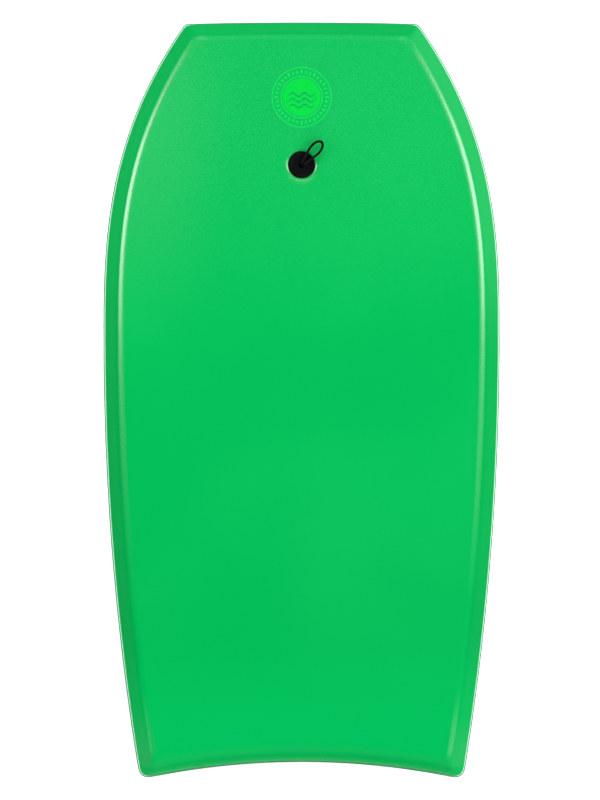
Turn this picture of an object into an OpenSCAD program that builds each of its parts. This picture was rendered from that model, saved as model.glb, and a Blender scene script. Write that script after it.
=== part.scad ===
// Bodyboard with a crescent tail, chined deck edges and a leash plug with a cord loop.
// +Y points to the nose, +X to the rider's right, +Z up. The flat bottom lies on z = 0.

/* [Outline] */
// Length from the nose edge to the tail tips
board_length = 1067; // [1000:1:1140]
// Width at the widest point
board_width = 561; // [530:1:590]
// Width of the nose edge, corner to corner
nose_width = 326; // [300:1:350]
// Width that the side curves reach at the tail tips
tail_width = 459; // [440:1:475]
// Distance from the nose edge back to the widest point
wide_from_nose = 440; // [400:5:480]
// How far the nose edge bows forward between its corners
nose_bow = 2; // [1:0.5:3]
// Fullness of the sides ahead of the widest point
front_fullness = 2.72; // [2.4:0.02:3]
// Fullness of the sides behind the widest point
rear_fullness = 2.05; // [1.8:0.05:2.4]
// Depth of the crescent cut into the tail
tail_depth = 21.5; // [12:0.5:30]
// Reach of the rounding at each nose corner
nose_round = 5; // [4:0.5:7]
// Reach of the rounding at each tail corner
tail_round = 17; // [14:1:20]

/* [Thickness] */
// Thickness through deck skin, core and slick
thickness = 55; // [50:1:60]
// Thickness of the foam deck skin
skin_t = 4; // [3.5:0.5:5]
// Thickness of the slick bottom sheet
slick_t = 1; // [0.8:0.1:1.5]
// Height that the nose rises above the flat bottom
nose_lift = 28; // [15:1:40]
// Length of the rising stretch, back from the nose edge
rocker_length = 400; // [380:5:430]

/* [Edges] */
// Height of the widest line of the edge above the bottom
apex_height = 32; // [28:1:36]
// How far the lower edge tucks in below its widest line
rail_tuck = 6; // [4:0.5:8]
// Width of the bevelled deck edge along the sides
side_chine = 23; // [20:0.5:26]
// Width of the bevelled deck edge across the nose
nose_chine = 20.5; // [19:0.5:24]
// Width of the bevelled deck edge round the tail
tail_chine = 22; // [20:0.5:25]
// Thickness of the foam strips glued round the edge
strip_t = 3; // [2.5:0.5:3.5]

/* [Leash plug] */
// Distance from the nose edge back to the plug
plug_from_nose = 201; // [190:1:215]
// Diameter of the two plug flanges
flange_d = 38; // [34:0.5:42]
// Thickness of each flange
flange_t = 2.4; // [2:0.1:2.8]
// Depth of the upper flange below the deck
flange_recess = 0.3; // [0:0.1:0.6]
// Diameter of the screwed stem on the upper half
stem_d = 18; // [16:0.5:19]
// Outer diameter of the socket on the lower half
socket_d = 24; // [22:0.5:26]
// Diameter of the hole for the cord
cord_hole_d = 8; // [7.8:0.1:8.6]

/* [Cord] */
// Diameter of the cord
cord_d = 3.5; // [3:0.1:3.6]
// Direction in which the loop leans, turned from +X towards +Y
loop_azimuth = 49; // [0:1:360]

/* [Print] */
// Distance from the nose edge back to the middle of the round print
print_from_nose = 106; // [95:1:115]
// Outer diameter of the round print
print_d = 85; // [70:1:90]
// Diameter of the filled disc in its middle
print_disc_d = 53; // [45:1:58]

/* [Hidden] */

$fn = 64;

// Positions along the board
nose_y = board_length / 2;
tail_y = -nose_y;
wide_y = nose_y - wide_from_nose;
rocker_y = nose_y - rocker_length;
plug_y = nose_y - plug_from_nose;
print_y = nose_y - print_from_nose;
tip_inset = 0.9;
tip_x = tail_width / 2 - tip_inset * tail_round;

// The deck and the bottom are flat for this far each way of the plug
seat_reach = 30;
seat_front = plug_y + seat_reach;
seat_back = plug_y - seat_reach;

// Butt joints between the edge strips, at these distances from the centreline
nose_joint_x = 150;
tail_joint_x = 195;

// Stations along each side, where every layer has its points
corner_stretch = 46;
last_station_gap = 10;
nose_steps = 3;
front_steps = 6;
seat_steps = 4;
rear_steps = 10;
tail_steps = 5;
corner_steps = 4;

function between(a, b, steps, first = 0) = [for (k = [first : steps]) a + (b - a) * k / steps];

side_ys = concat(
    between(nose_y - corner_stretch, seat_front, front_steps),
    between(seat_back, rocker_y, seat_steps),
    between(rocker_y, tail_y + corner_stretch + last_station_gap, rear_steps, 1)
);

// Rise of every layer at distance y along the board
function rocker(y) = y > rocker_y ? nose_lift * pow((y - rocker_y) / rocker_length, 2) : 0;

// Half width of the outline at y, and how fast it changes there
function half_width(y) = y > wide_y
    ? board_width / 2
        - (board_width - nose_width) / 2 * pow((y - wide_y) / (nose_y - wide_y), front_fullness)
    : board_width / 2
        - (board_width - tail_width) / 2 * pow((wide_y - y) / (wide_y - tail_y), rear_fullness);

function side_slope(y) = y > wide_y
    ? -(board_width - nose_width) / 2 * front_fullness / (nose_y - wide_y)
        * pow((y - wide_y) / (nose_y - wide_y), front_fullness - 1)
    : (board_width - tail_width) / 2 * rear_fullness / (wide_y - tail_y)
        * pow((wide_y - y) / (wide_y - tail_y), rear_fullness - 1);

// The side and the tail edge, moved inward by an inset
function side_x(y, inset) = half_width(y) - inset * sqrt(1 + pow(side_slope(y), 2));

function tail_edge_y(x, inset) = tail_y + tail_depth * (1 - pow(x / tip_x, 2))
    + inset * sqrt(1 + pow(2 * tail_depth * x / pow(tip_x, 2), 2));

// Corners of an inset outline. An inset is [at the sides, at the nose, at the tail].
function nose_corner(d) =
    let (y = nose_y - nose_bow - d[1])
    [side_x(y, d[0]), y];

function tail_corner(d, y = tail_y, tries = 8) = tries == 0
    ? [side_x(y, d[0]), y]
    : tail_corner(d, tail_edge_y(side_x(y, d[0]), d[2]), tries - 1);

// The corner roundings grow with the inset at the nose, and shrink with it at the tail
inner_round_rate = 0.45;
outer_band = 4;
least_tail_round = 5;
joint_gap = 1;

function rounded(a, corner, b, steps) = [
    for (k = [0 : steps])
        let (t = k / steps)
        (1 - t) * (1 - t) * a + 2 * t * (1 - t) * corner + t * t * b
];

// Right half of an inset outline, from the middle of the nose to the middle of the tail
function half_outline(d) =
    let (
        nose = nose_corner(d),
        tail = tail_corner(d),
        nr = nose_round + inner_round_rate * max(d[1] - outer_band, 0),
        tr = max(tail_round - d[2], least_tail_round),
        edge = function (x) [x, nose.y + nose_bow * (1 - pow(x / nose.x, 2))]
    )
    concat(
        [for (x = between(0, min(nose_joint_x, nose.x - nr - joint_gap), nose_steps)) edge(x)],
        rounded(edge(nose.x - nr), nose, [side_x(nose.y - nr, d[0]), nose.y - nr], corner_steps),
        [for (y = side_ys) [side_x(y, d[0]), y]],
        rounded(
            [side_x(tail.y + tr, d[0]), tail.y + tr], tail,
            [tail.x - tr, tail_edge_y(tail.x - tr, d[2])], corner_steps
        ),
        [for (x = between(tail_joint_x, 0, tail_steps)) [x, tail_edge_y(x, d[2])]]
    );

// Where the strips meet, and where the rocker starts, as places in the outline
nose_joint = nose_steps;
corner_start = nose_steps + 1;
rocker_start = corner_start + corner_steps + 1 + front_steps + 1 + seat_steps;
tail_joint = rocker_start + rear_steps + corner_steps + 2;
tail_middle = tail_joint + tail_steps;
ring_n = 2 * tail_middle;

// A profile point is [inset, z]. Its ring runs clockwise round the board, seen from above.
function insets(p) = is_list(p[0]) ? p[0] : [p[0], p[0], p[0]];

function ring(p) =
    let (half = half_outline(insets(p)))
    concat(
        [for (q = half) [q.x, q.y, p[1] + rocker(q.y)]],
        [for (k = [tail_middle - 1 : -1 : 1]) [-half[k].x, half[k].y, p[1] + rocker(half[k].y)]]
    );

// Profile of the edge, from the bottom up
tuck_rate = rail_tuck / apex_height;
chine_rate = (thickness - apex_height) / side_chine;
edge_drop = (skin_t * sqrt(1 + pow(chine_rate, 2)) - chine_rate * strip_t) / (1 + chine_rate * tuck_rate);
crease_shift = skin_t * tan(atan(chine_rate) / 2);

slick_bottom = [rail_tuck, 0];
slick_edge = [rail_tuck - slick_t * tuck_rate, slick_t];
core_bottom = [slick_edge[0] + strip_t, slick_t];
core_edge = [strip_t + edge_drop * tuck_rate, apex_height - edge_drop];
apex = [0, apex_height];
seam_low = [strip_t, apex_height];
seam_top = [strip_t, apex_height + strip_t * chine_rate];
deck_crease = [[side_chine, nose_chine, tail_chine], thickness];
core_crease = [[for (w = deck_crease[0]) w + crease_shift], thickness - skin_t];

// Two rings share one choice of diagonals, whichever way a piece passes them
function rises(p, q) = q[1] > p[1] || (q[1] == p[1] && insets(q)[0] > insets(p)[0]);

function quad(a, b, i, j, rising) = rising
    ? [[b + j, b + i, a + i], [b + j, a + i, a + j]]
    : [[b + j, b + i, a + j], [b + i, a + i, a + j]];

// Cap of a ring: strips across the board over the rocker, and one face over the flat
function cap(base) = concat(
    [[base + ring_n - 1, base, base + 1]],
    [
        for (k = [1 : rocker_start - 1])
            [base + ring_n - k - 1, base + ring_n - k, base + k, base + k + 1]
    ],
    [[for (k = [rocker_start : ring_n - rocker_start]) base + k]]
);

function flipped(faces) = [for (f = faces) [for (k = [len(f) - 1 : -1 : 0]) f[k]]];

// A full layer of the board: its rings from the lower cap to the upper one
module layer(profile) {
    last = len(profile) - 1;
    polyhedron(
        points = [for (p = profile) each ring(p)],
        faces = concat(
            flipped(cap(0)),
            [
                for (r = [0 : last - 1], i = [0 : ring_n - 1])
                    each quad(r * ring_n, (r + 1) * ring_n, i, (i + 1) % ring_n,
                        rises(profile[r], profile[r + 1]))
            ],
            cap(last * ring_n)
        ),
        convexity = 4
    );
}

// A foam strip along part of the edge, between two places in the outline
strip_profile = [slick_edge, apex, seam_top, seam_low, core_edge, core_bottom];

module edge_strip(first, last) {
    count = last - first + 1;
    rows = len(strip_profile);
    rings = [for (p = strip_profile) ring(p)];
    polyhedron(
        points = [for (r = rings, k = [first : last]) r[(k + ring_n) % ring_n]],
        faces = concat(
            [
                for (r = [0 : rows - 1], i = [0 : count - 2])
                    each quad(r * count, (r + 1) % rows * count, i, i + 1,
                        rises(strip_profile[r], strip_profile[(r + 1) % rows]))
            ],
            [
                [for (r = [0 : rows - 1]) r * count],
                [for (r = [rows - 1 : -1 : 0]) r * count + count - 1]
            ]
        ),
        convexity = 4
    );
}

// Leash plug: its axis stands square to the deck. Heights run along it from the deck.
seat_z = thickness + (rocker(seat_front) + rocker(seat_back)) / 2;
seat_tilt = atan((rocker(seat_front) - rocker(seat_back)) / (seat_front - seat_back));
board_depth = thickness * cos(seat_tilt);

top_flange_z = -flange_recess - flange_t;
bottom_proud = 0.6;
bottom_z = -board_depth - bottom_proud;
bore_gap = 0.2;
pocket_gap = 0.3;
plug_bore_d = socket_d + 2 * bore_gap;
flange_pocket_d = flange_d + 2 * pocket_gap;
stem_end_z = -36;
socket_top_z = -12;
web_t = 3;
web_height = 12;
web_z = -board_depth + web_height;
knot_recess_d = 15;
thread_gap = 0.1;

// Solids that join, and cutters, reach this far past a face
past = 1;
hole_reach = 20;

module at_plug() {
    translate([0, plug_y, seat_z]) rotate([seat_tilt, 0, 0]) children();
}

module column(d, z0, z1) {
    translate([0, 0, z0]) cylinder(d = d, h = z1 - z0);
}

module plug_holes() {
    at_plug() {
        column(plug_bore_d, -board_depth - hole_reach, hole_reach);
        column(flange_pocket_d, top_flange_z, hole_reach);
        column(flange_pocket_d, -board_depth - hole_reach, bottom_z + flange_t);
    }
}

// A flange with a rounded outer edge on its face at z = 0, its body above
module flange(edge_round = 0.8) {
    rotate_extrude() {
        square([flange_d / 2 - edge_round, flange_t]);
        translate([0, edge_round]) square([flange_d / 2, flange_t - edge_round]);
        translate([flange_d / 2 - edge_round, edge_round]) circle(r = edge_round);
    }
}

// Cord: two strands rise side by side, and a loop leans over from a pivot above the plug
strand_gap = 0.1;
strand_x = cord_d / 2 + strand_gap;
pivot_z = 4.7;
stem_gap = 0.15;
knot_d = 11.5;
knot_h = 8;
knot_gap = 0.3;
knot_top_z = web_z - knot_gap;
cord_sides = 8;

// Half of the loop from its pivot to its tip: [reach, half spread, height above the pivot]
loop_half = [
    [0, strand_x, 0], [4, 2.4, 0.9], [8, 3.1, 1.8], [12, 4, 2.6], [16, 4.9, 3.4], [20, 5.8, 4.2],
    [24, 6.6, 4.9], [28, 7.1, 5.5], [32, 7, 5.9], [36, 6.3, 6.2], [39.5, 4.8, 6.4],
    [41.9, 2.5, 6.6]
];
loop_tip = [42.8, 0, 6.7];
loop_route = concat(
    loop_half, [loop_tip],
    [for (k = [len(loop_half) - 1 : -1 : 0]) [loop_half[k].x, -loop_half[k].y, loop_half[k].z]]
);

module at_loop(z = 0) {
    at_plug() rotate([0, 0, loop_azimuth]) translate([0, 0, z]) children();
}

function unit(v) = v / norm(v);

// A round cord swept along a route, with flat ends
module cord(route) {
    last = len(route) - 1;
    heading = [
        for (k = [0 : last]) unit(route[min(k + 1, last)] - route[max(k - 1, 0)])
    ];
    points = [
        for (k = [0 : last])
            let (side = unit(cross([0, 0, 1], heading[k])), rise = cross(heading[k], side))
            for (s = [0 : cord_sides - 1])
                let (a = 360 * s / cord_sides)
                route[k] + cord_d / 2 * (cos(a) * side + sin(a) * rise)
    ];
    walls = [
        for (k = [0 : last - 1], s = [0 : cord_sides - 1])
            let (
                a = k * cord_sides, b = a + cord_sides,
                t = (s + 1) % cord_sides
            )
            each [[a + s, b + s, b + t], [a + s, b + t, a + t]]
    ];
    polyhedron(
        points = points,
        faces = concat(
            [[for (s = [0 : cord_sides - 1]) s]],
            walls,
            [[for (s = [cord_sides - 1 : -1 : 0]) last * cord_sides + s]]
        ),
        convexity = 6
    );
}

// Colours
core_white = [0.93, 0.93, 0.9];
deck_green = [0, 0.75, 0.35];
slick_white = [0.9, 0.93, 0.92];
rail_green = [0.66, 0.95, 0.78];
end_green = [0.3, 0.64, 0.45];
plug_black = [0.05, 0.05, 0.06];
cord_black = [0.03, 0.03, 0.03];
print_green = [0, 0.92, 0.27];

// Round print: a thin film in the shape of a ring and a disc crossed by waves
film_t = 0.3;
print_line = 1.5;
wave_height = 2.6;
wave_length = 17;
wave_ys = [-14, -6, 2];
wave_band = 3;
wave_steps = 24;

module wave(y) {
    half = print_disc_d / 2 + past;
    xs = between(-half, half, wave_steps);
    polygon(concat(
        [for (x = xs) [x, y + wave_height * sin(360 * x / wave_length)]],
        [
            for (k = [wave_steps : -1 : 0])
                [xs[k], y + wave_band + wave_height * sin(360 * xs[k] / wave_length)]
        ]
    ));
}

module print_shape() {
    difference() {
        circle(d = print_d);
        circle(d = print_d - 2 * print_line);
    }
    difference() {
        circle(d = print_disc_d);
        for (y = wave_ys) wave(y);
    }
}

module foam_core() {
    color(core_white) difference() {
        layer([core_bottom, core_edge, core_crease]);
        plug_holes();
    }
}

module deck_skin() {
    color(deck_green) difference() {
        layer([core_crease, core_edge, seam_low, seam_top, deck_crease]);
        plug_holes();
    }
}

module bottom_skin() {
    color(slick_white) difference() {
        layer([slick_bottom, slick_edge, core_bottom]);
        plug_holes();
    }
}

module rail_strip_left() {
    color(rail_green) edge_strip(ring_n - tail_joint, ring_n - nose_joint);
}

module rail_strip_right() {
    color(rail_green) edge_strip(nose_joint, tail_joint);
}

module nose_strip() {
    color(end_green) edge_strip(-nose_joint, nose_joint);
}

module tail_strip() {
    color(end_green) edge_strip(tail_joint, ring_n - tail_joint);
}

module plug_top() {
    color(plug_black) at_plug() difference() {
        union() {
            translate([0, 0, -flange_recess]) mirror([0, 0, 1]) flange();
            column(stem_d, stem_end_z, top_flange_z + past);
        }
        column(cord_hole_d, stem_end_z - past, past);
    }
}

module plug_bottom() {
    color(plug_black) at_plug() difference() {
        union() {
            translate([0, 0, bottom_z]) flange();
            column(socket_d, bottom_z + flange_t - past, socket_top_z);
        }
        column(stem_d + 2 * thread_gap, web_z + web_t, socket_top_z + past);
        column(cord_hole_d, web_z - past, web_z + web_t + past);
        column(knot_recess_d, bottom_z - past, web_z);
    }
}

module cord_stem() {
    color(cord_black) at_loop()
        for (side = [-1, 1])
            translate([0, side * strand_x, knot_top_z])
                cylinder(d = cord_d, h = pivot_z - cord_d / 2 - stem_gap - knot_top_z, $fn = cord_sides);
}

module cord_knot() {
    color(cord_black) at_loop(knot_top_z - knot_h)
        rotate_extrude() intersection() {
            translate([0, knot_h / 2]) scale(knot_h / 2) hull() {
                circle(r = 1);
                translate([knot_d / knot_h - 1, 0]) circle(r = 1);
            }
            square([knot_d, knot_h]);
        }
}

module cord_loop() {
    color(cord_black) at_loop(pivot_z) cord(loop_route);
}

module deck_emblem() {
    color(print_green) intersection() {
        layer([deck_crease, [deck_crease[0], thickness + film_t]]);
        translate([0, print_y, 0]) linear_extrude(thickness + nose_lift + past) print_shape();
    }
}

foam_core();
deck_skin();
bottom_skin();
rail_strip_left();
rail_strip_right();
nose_strip();
tail_strip();
plug_top();
plug_bottom();
cord_stem();
cord_knot();
cord_loop();
deck_emblem();
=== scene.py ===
import math

import bmesh
import bpy
import numpy as np
from mathutils import Matrix, Vector


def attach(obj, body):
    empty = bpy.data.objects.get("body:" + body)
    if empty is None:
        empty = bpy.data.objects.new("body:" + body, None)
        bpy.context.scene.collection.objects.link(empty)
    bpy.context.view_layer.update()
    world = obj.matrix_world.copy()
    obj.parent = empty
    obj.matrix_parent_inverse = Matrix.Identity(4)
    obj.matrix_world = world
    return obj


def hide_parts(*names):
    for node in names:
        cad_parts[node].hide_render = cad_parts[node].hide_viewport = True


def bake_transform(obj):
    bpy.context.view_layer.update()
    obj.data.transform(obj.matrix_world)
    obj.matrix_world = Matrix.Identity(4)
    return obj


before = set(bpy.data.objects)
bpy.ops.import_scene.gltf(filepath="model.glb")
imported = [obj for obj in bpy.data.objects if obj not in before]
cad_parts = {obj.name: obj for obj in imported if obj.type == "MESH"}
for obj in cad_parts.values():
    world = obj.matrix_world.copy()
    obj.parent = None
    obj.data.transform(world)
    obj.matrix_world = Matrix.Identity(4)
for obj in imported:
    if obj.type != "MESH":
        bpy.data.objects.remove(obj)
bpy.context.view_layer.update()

MM = 0.001

# -------------------------------- sizes of the board
LENGTH = 1067 * MM
WIDTH = 561 * MM
NOSE_WIDTH = 326 * MM
TAIL_WIDTH = 459 * MM
WIDE_FROM_NOSE = 440 * MM
FRONT_FULLNESS = 2.72
REAR_FULLNESS = 2.05
TAIL_DEPTH = 21.5 * MM
NOSE_ROUND = 5 * MM
NOSE_BOW = 2 * MM
TAIL_ROUND = 17 * MM
TIP_SHARE = 0.9
THICKNESS = 55 * MM
SKIN_T = 4 * MM
SLICK_T = 1 * MM
NOSE_LIFT = 28 * MM
ROCKER_LENGTH = 400 * MM
APEX_Z = 32 * MM
RAIL_TUCK = 6 * MM
SIDE_CHINE = 23 * MM
NOSE_CHINE = 20.5 * MM
TAIL_CHINE = 22 * MM
STRIP_T = 3 * MM
PLUG_FROM_NOSE = 201 * MM
PRINT_FROM_NOSE = 106 * MM

NOSE_Y = LENGTH / 2
TAIL_Y = -NOSE_Y
WIDE_Y = NOSE_Y - WIDE_FROM_NOSE
ROCKER_Y = NOSE_Y - ROCKER_LENGTH
PLUG_Y = NOSE_Y - PLUG_FROM_NOSE
PRINT_Y = NOSE_Y - PRINT_FROM_NOSE
TIP_X = TAIL_WIDTH / 2 - TIP_SHARE * TAIL_ROUND
NOSE_JOINT_X = 150 * MM
TAIL_JOINT_X = 195 * MM

# The plug stands square to the deck, which is flat for this far each way of it
SEAT_REACH = 30 * MM

# The cord. Its loop is half a route in mm, seen from the pivot: outwards, sideways and up
CORD_D = 3.5 * MM
STRAND_X = 1.85 * MM
PIVOT_Z = 4.7 * MM
LOOP_AZIMUTH = 49
LOOP_HALF = [
    (8, 3.1, 1.8), (12, 4, 2.6), (16, 4.9, 3.4), (20, 5.8, 4.2), (24, 6.6, 4.9), (28, 7.1, 5.5),
    (32, 7, 5.9), (36, 6.3, 6.2), (39.5, 4.8, 6.4), (41.9, 2.5, 6.6),
]
LOOP_TIP = (42.8, 0, 6.7)


def clamp(t):
    return min(max(t, 0.0), 1.0)


def smooth(t):
    t = clamp(t)
    return t * t * (3 - 2 * t)


def quadratic(a, corner, b, t):
    """The point at t, from 0 to 1, on the curve from a to b that a corner pulls."""
    return tuple((1 - t) ** 2 * p + 2 * t * (1 - t) * q + t * t * r for p, q, r in zip(a, corner, b))


def curve(a, corner, b, steps):
    return [quadratic(a, corner, b, k / steps) for k in range(steps + 1)]


def rocker(y):
    return NOSE_LIFT * (max(y - ROCKER_Y, 0) / ROCKER_LENGTH) ** 2


# -------------------------------- camera
FRAME_HEIGHT = 1131 * MM
LENS = 300
SENSOR = 36
VIEW_CENTRE = (-2.3 * MM, 0.5 * MM, 45 * MM)
CLIP_START = 0.1
CLIP_END = 60


def make_camera():
    data = bpy.data.cameras.new("camera")
    data.lens = LENS
    data.sensor_width = SENSOR
    data.clip_start = CLIP_START
    data.clip_end = CLIP_END
    camera = bpy.data.objects.new("camera", data)
    bpy.context.scene.collection.objects.link(camera)
    height = FRAME_HEIGHT * LENS / SENSOR
    camera.location = (VIEW_CENTRE[0], VIEW_CENTRE[1], VIEW_CENTRE[2] + height)
    bpy.context.scene.camera = camera


make_camera()


# -------------------------------- material building blocks
def srgb(r, g, b):
    """Linear colour with alpha 1, from 8-bit values."""
    parts = [c / 255 for c in (r, g, b)]
    linear = [((c + 0.055) / 1.055) ** 2.4 if c > 0.04045 else c / 12.92 for c in parts]
    return (*linear, 1)


class Finish:
    """A material under construction: a Principled shader and the nodes that feed it."""

    SETTINGS = ("operation", "data_type", "feature")
    MIX_COLORS = (6, 7)
    MIX_RESULT = 2

    def __init__(self, name, color, roughness, **constants):
        self.material = bpy.data.materials.new(name)
        self.material.use_nodes = True
        self.material.diffuse_color = color
        self.tree = self.material.node_tree
        self.shader = self.tree.nodes["Principled BSDF"]
        self.shader.inputs["Base Color"].default_value = color
        self.shader.inputs["Roughness"].default_value = roughness
        for key, value in constants.items():
            self.shader.inputs[key.replace("_", " ")].default_value = value
        coordinates = self.node("ShaderNodeTexCoord")
        self.place = coordinates.outputs["Object"]
        self.facing = coordinates.outputs["Normal"]

    def node(self, kind, **settings):
        made = self.tree.nodes.new(kind)
        for key, value in settings.items():
            if key in self.SETTINGS:
                setattr(made, key, value)
            else:
                made.inputs[key].default_value = value
        return made

    def link(self, source, target):
        self.tree.links.new(source, target)

    def feed(self, value, socket):
        """Sets a socket to a constant, or links it to a source."""
        if isinstance(value, (int, float, tuple)):
            socket.default_value = value
        else:
            self.link(value, socket)

    def scaled(self, factors):
        made = self.node("ShaderNodeVectorMath", operation="MULTIPLY")
        made.inputs[1].default_value = factors
        self.link(self.place, made.inputs[0])
        return made.outputs[0]

    def split(self, vector):
        made = self.node("ShaderNodeSeparateXYZ")
        self.link(vector, made.inputs[0])
        return made.outputs

    def axes(self):
        parts = self.split(self.place)
        return parts["X"], parts["Y"]

    def slant(self):
        """How far the surface faces +X and +Z: 0 and 1 on the flat deck, more and less on a bevel."""
        parts = self.split(self.facing)
        return parts["X"], parts["Z"]

    def noise(self, scale, detail=2.0, rough=0.5, place=None):
        """Soft noise. Its scale, like that of the cells, is in features per metre."""
        made = self.node("ShaderNodeTexNoise", Scale=scale, Detail=detail, Roughness=rough)
        self.link(place or self.place, made.inputs["Vector"])
        return made.outputs["Fac"]

    def cells(self, scale, feature="F1"):
        made = self.node("ShaderNodeTexVoronoi", feature=feature, Scale=scale)
        self.link(self.place, made.inputs["Vector"])
        return made.outputs["Distance"]

    def remap(self, value, lo, hi, at_lo=0.0, at_hi=1.0):
        """A smooth ramp from at_lo, where the value is lo or less, to at_hi, where it is hi or more."""
        made = self.node("ShaderNodeMapRange")
        made.interpolation_type = "SMOOTHSTEP"
        self.link(value, made.inputs[0])
        for k, number in enumerate((lo, hi, at_lo, at_hi), 1):
            made.inputs[k].default_value = number
        return made.outputs[0]

    def math(self, operation, *values):
        made = self.node("ShaderNodeMath", operation=operation)
        for value, socket in zip(values, made.inputs):
            self.feed(value, socket)
        return made.outputs[0]

    def plus(self, a, b):
        return self.math("ADD", a, b)

    def times(self, a, b):
        return self.math("MULTIPLY", a, b)

    def mix(self, factor, a, b):
        made = self.node("ShaderNodeMix", data_type="RGBA")
        self.link(factor, made.inputs["Factor"])
        for k, value in zip(self.MIX_COLORS, (a, b)):
            self.feed(value, made.inputs[k])
        return made.outputs[self.MIX_RESULT]

    def color(self, source):
        self.link(source, self.shader.inputs["Base Color"])

    def mottle(self, source, lo, hi, a, b):
        """Colour a where the source is low, b where it is high."""
        self.color(self.mix(self.remap(source, lo, hi), a, b))

    def gloss(self, source):
        self.link(source, self.shader.inputs["Specular IOR Level"])

    def roughness(self, source):
        self.link(source, self.shader.inputs["Roughness"])

    def bump(self, height, depth, strength):
        made = self.node("ShaderNodeBump", Strength=strength, Distance=depth)
        self.link(height, made.inputs["Height"])
        normal = self.shader.inputs["Normal"]
        if normal.links:
            self.link(normal.links[0].from_socket, made.inputs["Normal"])
        self.link(made.outputs["Normal"], normal)


# -------------------------------- deck foam
DECK_GREEN = srgb(0, 141, 64)
DECK_HAZE = srgb(4, 145, 67)
# Painted sheen: a paler green mixed in near the nose, on the right bevel and at the tail corners
DECK_PAINTED_SHEEN = srgb(34, 146, 76)
# Painted shade: a darker green on the bevels
DECK_SHADE = srgb(0, 130, 58)
# Painted light: a lighter green towards the tail
DECK_TAIL_LIT = srgb(0, 148, 69)
DECK_GLOSS = 0.025
DECK_ROUGH = 0.29
POLISH_GLOSS = 0.875
POLISH_ROUGH = 0.24
ROUGH_SPREAD = 0.04
PEBBLE_SCALE = 560
GRAIN_SCALE = 620

# Ramps over a place or a direction: from, to, the value at from and the value at to
BEVEL_FACING = (0.8, 0.97, 1.0, 0.0)
# Where the painted sheen lies near the nose: stronger on the left, weaker on the bevels, speckled by the
# grain
SHEEN_ALONG = (60 * MM, 440 * MM, 0.0, 1.0)
SHEEN_ACROSS = (-240 * MM, -80 * MM, 1.0, 0.2)
SHEEN_ON_BEVEL = (0.0, 1.0, 1.0, 0.1)
SHEEN_SPECK = (0.3, 0.7, -0.5, 0.5)
TAIL_LIT_ALONG = (TAIL_Y + 50 * MM, TAIL_Y + 230 * MM, 1.0, 0.0)
# Painted sheen on the bevels near the tail corners
CORNER_SHEEN_ACROSS = (185 * MM, 205 * MM, 0.0, 1.0)
CORNER_SHEEN_AHEAD = (TAIL_Y + 30 * MM, TAIL_Y + 95 * MM, 0.6, 0.0)
CORNER_SHEEN_BEHIND = (TAIL_Y + 10 * MM, TAIL_Y + 20 * MM, 0.0, 1.0)
SHADE_AHEAD = (50 * MM, 360 * MM, 0.6, 0.3)
SHADE_BEHIND = (TAIL_Y + 80 * MM, TAIL_Y + 220 * MM, 0.1, 1.0)
# Painted sheen on the forward half of the right bevel
RIGHT_SHEEN_FACING = (0.2, 0.5, 0.0, 0.6)
RIGHT_SHEEN_ALONG = (40 * MM, 240 * MM, 0.0, 1.0)
POLISH_BEHIND = (-300 * MM, -20 * MM, 0.0, 1.0)
POLISH_AHEAD = (NOSE_Y - 55 * MM, NOSE_Y - 27 * MM, 1.0, 0.1)
TRACE_AHEAD = (TAIL_Y + 40 * MM, TAIL_Y + 130 * MM, 0.6, 0.0)
TRACE_BEHIND = (TAIL_Y + 25 * MM, TAIL_Y + 40 * MM, 0.0, 1.0)
LIP_BESIDE = (0.5, 0.85, 0.0, 1.0)
LIP_NARROW = (21.8 * MM, 22.8 * MM, 1.15, 0.0)
LIP_NOT_AHEAD = (-0.5, -0.1, 0.0, 1.0)
LIP_INNER = (21.2 * MM, 25.5 * MM, 0.03, 1.0)
LIP_OUTER = (22 * MM, 30 * MM, 1.15, 0.0)
LIP_AFT = (0.3, 0.85, 0.0, 1.0)


def corner_sheen(f, x, y):
    """Where painted sheen goes near the tail corners."""
    outer = f.remap(f.math("ABSOLUTE", x), *CORNER_SHEEN_ACROSS)
    return f.times(outer, f.times(f.remap(y, *CORNER_SHEEN_AHEAD), f.remap(y, *CORNER_SHEEN_BEHIND)))


def bevel_shade(f, y):
    """Painted shade: how much darker the bevels are, most in the middle of the board's length."""
    return f.times(f.remap(y, *SHADE_AHEAD), f.remap(y, *SHADE_BEHIND))


def right_bevel_sheen(f, across, y):
    """Painted sheen on the forward half of the right bevel."""
    return f.times(f.remap(across, *RIGHT_SHEEN_FACING), f.remap(y, *RIGHT_SHEEN_ALONG))


def crease_polish(f, x, y):
    """Polish along the side creases: full ahead, fading aft, with a short trace at the tail corners."""
    trace = f.times(f.remap(y, *TRACE_AHEAD), f.remap(y, *TRACE_BEHIND))
    return f.plus(f.times(f.remap(y, *POLISH_BEHIND), f.remap(y, *POLISH_AHEAD)), trace)


def lip_polish(f, x, y):
    """Polish round the plug: narrow and bright on both sides of it, wide and weak on its tail side."""
    back = f.math("SUBTRACT", PLUG_Y, y)
    reach = f.math("SQRT", f.plus(f.times(x, x), f.times(back, back)))
    beside = f.remap(f.math("DIVIDE", f.math("ABSOLUTE", x), reach), *LIP_BESIDE)
    aft = f.math("DIVIDE", back, reach)
    narrow = f.times(f.remap(reach, *LIP_NARROW), f.remap(aft, *LIP_NOT_AHEAD))
    wide = f.times(f.remap(reach, *LIP_INNER), f.remap(reach, *LIP_OUTER))
    return f.plus(f.times(beside, narrow), f.times(wide, f.remap(aft, *LIP_AFT)))


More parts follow.
